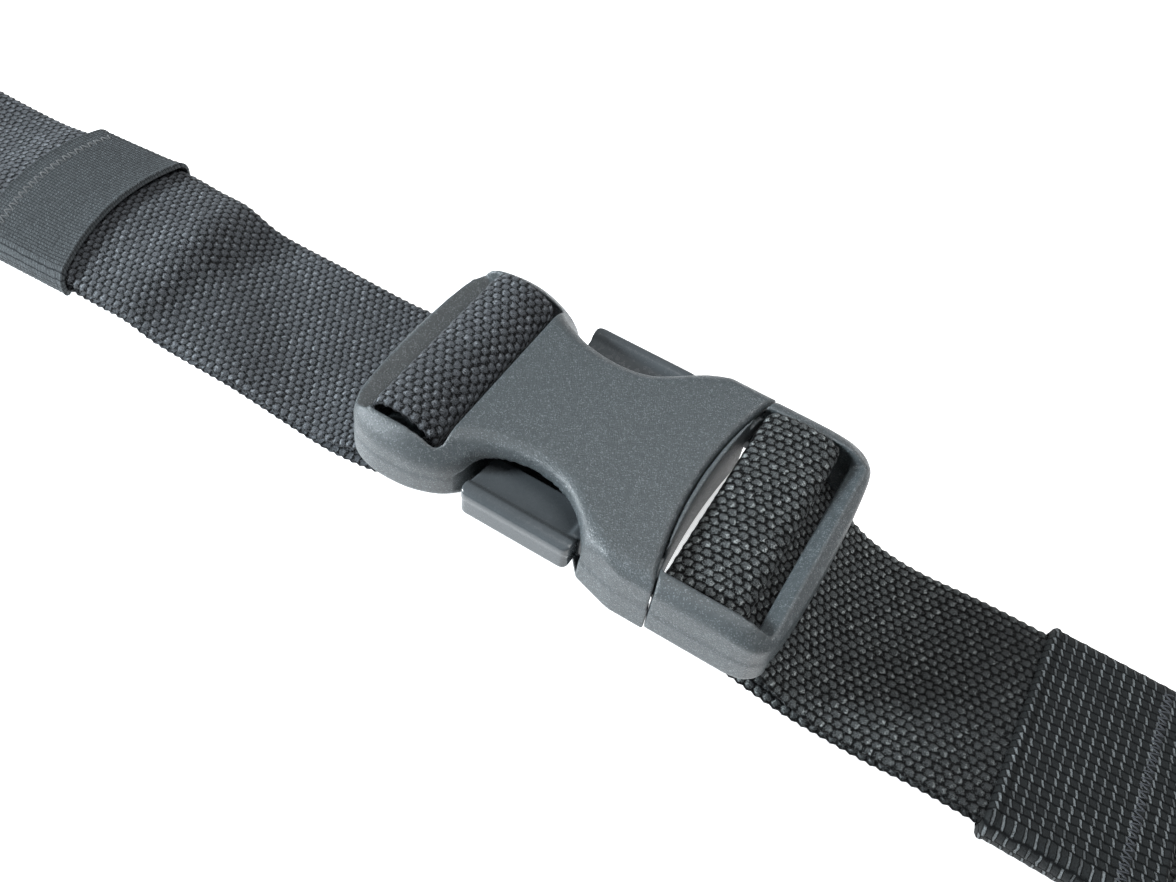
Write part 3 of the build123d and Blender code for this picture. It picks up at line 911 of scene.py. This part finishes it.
def webbing(name, valley, crown, pale_colour, crown_highlight_share, spot, side_gap, shade_span):
    """Woven polyester: crowned yarns in staggered columns, with fibres, painted shade in the gaps and a
    painted highlight at one end of each crown.

    Painted shade darkens the weave along X, in metres, from the first value of the shade span to the
    second, and the weave is light again beyond the keeper.
    """
    g = Graph(name)
    u, v = g.weave()
    place = g.place()
    wobble = g.plus(g.times(g.plus(g.noise(place, 0.5, 2.0), -0.5), 0.35),
                    g.times(g.plus(g.noise(place, 1.5, 3.0, 0.7), -0.5), 1.1))
    across = g.plus(g.times(v, 1 / COLUMN), g.times(wobble, 0.7))
    column = g.math("FLOOR", across)
    along = g.plus(g.plus(g.times(u, 1 / RIB), g.times(g.math("MODULO", column, 2.0), 0.5)), wobble)
    from_middle = g.math("ABSOLUTE", g.plus(g.math("FRACT", along), -0.5))
    from_centre = g.math("ABSOLUTE", g.plus(g.math("FRACT", across), -0.5))
    round_off = g.plus(g.math("POWER", g.times(from_middle, 2.0), 2.4),
                       g.times(g.math("POWER", g.times(from_centre, 2.0), 3.0), side_gap))
    height = g.math("SQRT", g.math("MAXIMUM", g.math("SUBTRACT", 1.0, round_off), 0.0))
    chance = g.random(g.math("FLOOR", along), column)
    fibre = g.noise(place, 3.0, 3.0, 0.75)
    # Painted shade: the weave's own dark gaps between the crowns, deepened towards the near-black valley
    # colour and broken up by the fibres.
    gap_shade_height = g.plus(height, g.times(g.plus(fibre, -0.5), 1.6))
    slanted = g.node("ShaderNodeCombineXYZ", {
        0: g.plus(g.times(u, 1.6), g.times(v, 2.2)), 1: g.plus(g.times(v, 2.6), g.times(u, -1.6))})
    strand = g.node("ShaderNodeTexNoise", {
        "Vector": slanted, "Scale": 1.4, "Detail": 4.0, "Roughness": 0.75})
    soft = g.noise(place, 0.035, 2.0)
    shade = g.times(g.clamp_range(gap_shade_height, *spot), g.clamp_range(strand, 0.38, 0.62, 0.12, 1.0))
    base = g.mix(shade, valley, crown)
    # Painted highlight: a light spot at one end of each crown, stronger on some crowns than on others.
    crown_highlight = g.clamp_range(g.math("ABSOLUTE", g.plus(g.math("FRACT", along), -0.74)), 0.16, 0.05)
    crown_highlight = g.times(crown_highlight, g.clamp_range(from_centre, 0.36, 0.2))
    light = g.times(g.clamp_range(chance, 1 - crown_highlight_share, 1.0, 0.2, 1.0), crown_highlight)
    base = g.mix(g.times(light, g.clamp_range(fibre, 0.38, 0.6)), base, pale_colour)
    base = g.mix(g.clamp_range(soft, 0.35, 0.65, 0.0, 0.25), base, valley)
    # Painted shade: the weave darkens along X over the shade span, and is light again beyond the keeper.
    x = g.node("ShaderNodeSeparateXYZ", {0: place}, output=0)
    darker = g.clamp_range(x, *shade_span, 0.0, 0.7)
    light_again = g.clamp_range(x, shade_span[1] + 0.03, shade_span[1] + 0.09, 1.0, 0.0)
    base = g.mix(g.times(darker, light_again), base, valley)
    g.set(Base_Color=base, Roughness=g.clamp_range(fibre, 0.3, 0.7, 0.62, 0.85))
    g.set(Specular_IOR_Level=g.clamp_range(height, 0.3, 0.9, 0.03, 0.35))
    g.set(Sheen_Weight=0.03, Sheen_Roughness=0.45)
    g.bump(g.plus(g.plus(height, g.times(strand, 0.5)), g.times(fibre, 0.4)), 0.5)
    return g.material


def elastic(name, pitch, stitch, valley, crown, pale_colour):
    """Knitted elastic: rows of small stitches parallel to the band's rims."""
    g = Graph(name)
    u, v = g.weave()
    wobble = g.times(g.plus(g.noise(g.place(), 0.5, 2.0), -0.5), 0.4)
    stitch_at = g.plus(g.times(v, 1 / stitch), wobble)
    slant = g.times(g.plus(g.math("FRACT", stitch_at), -0.5), 0.3)
    along = g.plus(g.plus(g.times(u, 1 / pitch), slant), g.times(wobble, 0.5))
    from_row = g.math("ABSOLUTE", g.plus(g.math("FRACT", along), -0.5))
    from_stitch = g.math("ABSOLUTE", g.plus(g.math("FRACT", stitch_at), -0.5))
    chance = g.random(g.math("FLOOR", stitch_at), g.math("FLOOR", along))
    strand = g.node("ShaderNodeTexNoise", {
        "Vector": g.node("ShaderNodeCombineXYZ", {0: g.times(u, 3.0), 1: g.times(v, 4.0)}),
        "Scale": 1.0, "Detail": 4.0, "Roughness": 0.75})
    box = g.times(g.clamp_range(from_stitch, 0.5, 0.32), g.clamp_range(from_row, 0.14, 0.24))
    chain = g.times(g.clamp_range(from_row, 0.17, 0.06), g.clamp_range(from_stitch, 0.5, 0.36))
    height = g.plus(g.times(box, 0.6), chain)
    base = g.mix(g.times(box, g.clamp_range(strand, 0.38, 0.62, 0.2, 1.0)), valley, crown)
    light = g.times(g.clamp_range(chance, 0.0, 0.9, 0.35, 1.0), chain)
    base = g.mix(g.times(light, g.clamp_range(strand, 0.36, 0.56, 0.2, 1.0)), base, pale_colour)
    g.set(Base_Color=base, Roughness=g.clamp_range(strand, 0.3, 0.7, 0.6, 0.85))
    g.set(Specular_IOR_Level=g.clamp_range(height, 0.3, 0.9, 0.05, 0.3), Sheen_Weight=0.03)
    g.bump(g.plus(height, g.times(strand, 0.4)), 0.3)
    return g.material


def thread(name, colour):
    """Twisted bonded thread with a low sheen."""
    g = Graph(name)
    twist = g.noise(g.place(), 5.0, 2.0)
    dark = tuple(0.5 * c for c in colour)
    base = g.mix(g.clamp_range(twist, 0.35, 0.65), dark, colour)
    rough = g.clamp_range(twist, 0.3, 0.7, 0.5, 0.75)
    g.set(Base_Color=base, Roughness=rough, Sheen_Weight=0.3)
    g.bump(twist, 0.12)
    return g.material


# ------------------------------------------------------------ assembly
def finish_piece(piece, body, slot, material, *nodes):
    """Material, body and the CAD nodes a piece stands for; the slot argument is not used."""
    piece.data.materials.append(material)
    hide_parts(*nodes)
    if body:
        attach(piece, body)


# The left weave gets no painted shade: this span starts beyond the belt's end.
NO_PAINTED_SHADE = (1.0, 2.0)        # starts beyond the belt's end


def make_buckle():
    shell = shell_plastic()
    arm = arm_plastic()
    finish_piece(make_socket(), "socket", "shell_plastic", shell, "buckle_socket")
    finish_piece(make_plug(), "plug", "shell_plastic", shell, "buckle_plug")
    finish_piece(make_arm("release_arm_far_body", 1), "arm_far", "arm_plastic", arm, "release_arm_far")
    finish_piece(make_arm("release_arm_near_body", -1), "arm_near", "arm_plastic", arm, "release_arm_near")


def make_belt():
    left_weave = webbing(
        "webbing_left", valley=(0.005, 0.0056, 0.0065), crown=(0.135, 0.150, 0.168),
        pale_colour=(0.30, 0.33, 0.36), crown_highlight_share=0.9, spot=(0.45, 1.0), side_gap=0.45, shade_span=NO_PAINTED_SHADE)
    # The right strap's weave has painted shade between 0.085 and 0.145 m along X.
    right_weave = webbing(
        "webbing_right", valley=(0.003, 0.0034, 0.0036), crown=(0.130, 0.146, 0.150),
        pale_colour=(0.46, 0.50, 0.50), crown_highlight_share=1.0, spot=(0.45, 1.0), side_gap=0.9, shade_span=(0.085, 0.145))
    left, left_length = make_left_webbing()
    right, right_length = make_right_webbing()
    back, back_length = make_back_webbing()
    finish_piece(left, "socket", "webbing", left_weave, "webbing_left")
    finish_piece(back, "socket", "webbing", left_weave, "webbing_back")
    finish_piece(right, None, "webbing", right_weave, "webbing_right")
    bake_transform(right)


def make_keepers():
    fine = elastic(
        "elastic_left", LEFT_PITCH, LEFT_STITCH,
        valley=(0.016, 0.018, 0.020), crown=(0.075, 0.085, 0.090), pale_colour=(0.14, 0.16, 0.17))
    bold = elastic(
        "elastic_right", RIB, COLUMN,
        valley=(0.003, 0.0034, 0.0037), crown=(0.013, 0.0155, 0.016), pale_colour=(0.15, 0.165, 0.17))
    left = make_keeper(
        "keeper_left_band", KEEPER_LEFT, LEFT_PITCH, LEFT_STITCH,
        rim=1.6, rim_rise=0.25, extra=0.1, shape=left_rest_band)
    right = make_keeper(
        "keeper_right_band", KEEPER_RIGHT, RIB, COLUMN,
        rim=2.4, rim_rise=0.5, extra=RIGHT_EXTRA, shape=as_is)
    finish_piece(left, "keeper_left", "elastic", fine, "keeper_left")
    finish_piece(right, "keeper_right", "elastic", bold, "keeper_right")


def make_stitches():
    """The two keepers' seams and the two bar tacks on the tails."""
    top = 2 * KEEPER_T + 3 * GAP + 2 * WEB_T
    tail_top = TAIL_Z + LIFT + WEB_T / 2
    dark = thread("thread_left", (0.030, 0.034, 0.036))
    blue = thread("thread_right", (0.022, 0.027, 0.036))
    seam = (-WEB_W / 2 + 1, WEB_W / 2 - 1)
    hem = (-WEB_W / 2 + 3, WEB_W / 2 - 3)
    x = KEEPER_LEFT[0] + 6
    stitches = zigzag((x - 1.6, x + 1.6), seam, top, 1.1, 4, left_rest_band)
    left_seam = threads("keeper_left_seam", stitches, 0.22)
    finish_piece(left_seam, "keeper_left", "thread", dark, "keeper_stitch_left")
    x = KEEPER_RIGHT[1] - 9
    stitches = zigzag((x - 1.2, x + 1.4), seam, top + RIGHT_EXTRA, 0.8, 5, as_is)
    right_seam = threads("keeper_right_seam", stitches, 0.17)
    finish_piece(right_seam, "keeper_right", "thread", blue, "keeper_stitch_right")
    x = KEEPER_LEFT[0] + 14
    stitches = zigzag((x - 1.8, x + 1.8), hem, tail_top, 1.2, 6, left_rest_band)
    left_tack = threads("tail_tack_left_thread", stitches, 0.12)
    finish_piece(left_tack, "socket", "thread", dark, "tail_tack_left")
    x = KEEPER_RIGHT[1] - 12
    stitches = zigzag((x - 1.8, x + 1.8), hem, tail_top, 1.2, 7, as_is)
    right_tack = threads("tail_tack_right_thread", stitches, 0.12)
    finish_piece(right_tack, "plug", "thread", dark, "tail_tack_right")


# ------------------------------------------------------------ floor, light and camera
def make_floor():
    mesh = bpy.data.meshes.new("floor")
    size = 6.0
    corners = [(-size, -size, 0), (size, -size, 0), (size, size, 0), (-size, size, 0)]
    mesh.from_pydata(corners, [], [(0, 1, 2, 3)])
    floor = bpy.data.objects.new("floor", mesh)
    bpy.context.scene.collection.objects.link(floor)
    floor.location.z = -0.0001
    g = Graph("floor")
    g.set(Base_Color=(0.92, 0.92, 0.92), Roughness=0.6)
    g.set(Emission_Color=(1.0, 1.0, 1.0), Emission_Strength=0.62)
    mesh.materials.append(g.material)


def soft_light(name, place, aim, size, power, colour=(1, 1, 1)):
    """A square lamp that faces a point."""
    lamp = bpy.data.lights.new(name, "AREA")
    lamp.size = size
    lamp.energy = power
    lamp.color = colour
    piece = bpy.data.objects.new(name, lamp)
    bpy.context.scene.collection.objects.link(piece)
    piece.location = place
    piece.rotation_euler = (Vector(aim) - Vector(place)).to_track_quat("-Z", "Y").to_euler()


def make_lights():
    aim = (0.0, 0.06, 0.02)
    soft_light("overhead", (0.30, 0.25, 0.95), aim, 0.7, 9.0)
    soft_light("front_left", (-0.78, -0.46, 0.40), aim, 0.2, 24.0, (0.88, 0.95, 1.0))
    world = bpy.data.worlds.new("studio")
    world.use_nodes = True
    world.node_tree.nodes["Background"].inputs[0].default_value = (0.95, 0.97, 1.0, 1)
    world.node_tree.nodes["Background"].inputs[1].default_value = 0.22
    bpy.context.scene.world = world
    bpy.context.scene.view_settings.view_transform = "Standard"


def make_camera():
    """The view the belt is known from: from above, near the plug's end, turned to the left."""
    camera = bpy.data.cameras.new("camera")
    camera.sensor_width = 36.0
    camera.lens = 33.617
    camera.clip_start = 0.01
    piece = bpy.data.objects.new("camera", camera)
    bpy.context.scene.collection.objects.link(piece)
    piece.location = (0.08936, -0.08437, 0.21641)
    piece.rotation_euler = Euler((radians(38.0808), radians(-6.5367), radians(30.6469)))
    bpy.context.scene.camera = piece


make_buckle()
make_belt()
make_keepers()
make_stitches()
make_floor()
make_lights()
make_camera()

bpy.context.view_layer.update()
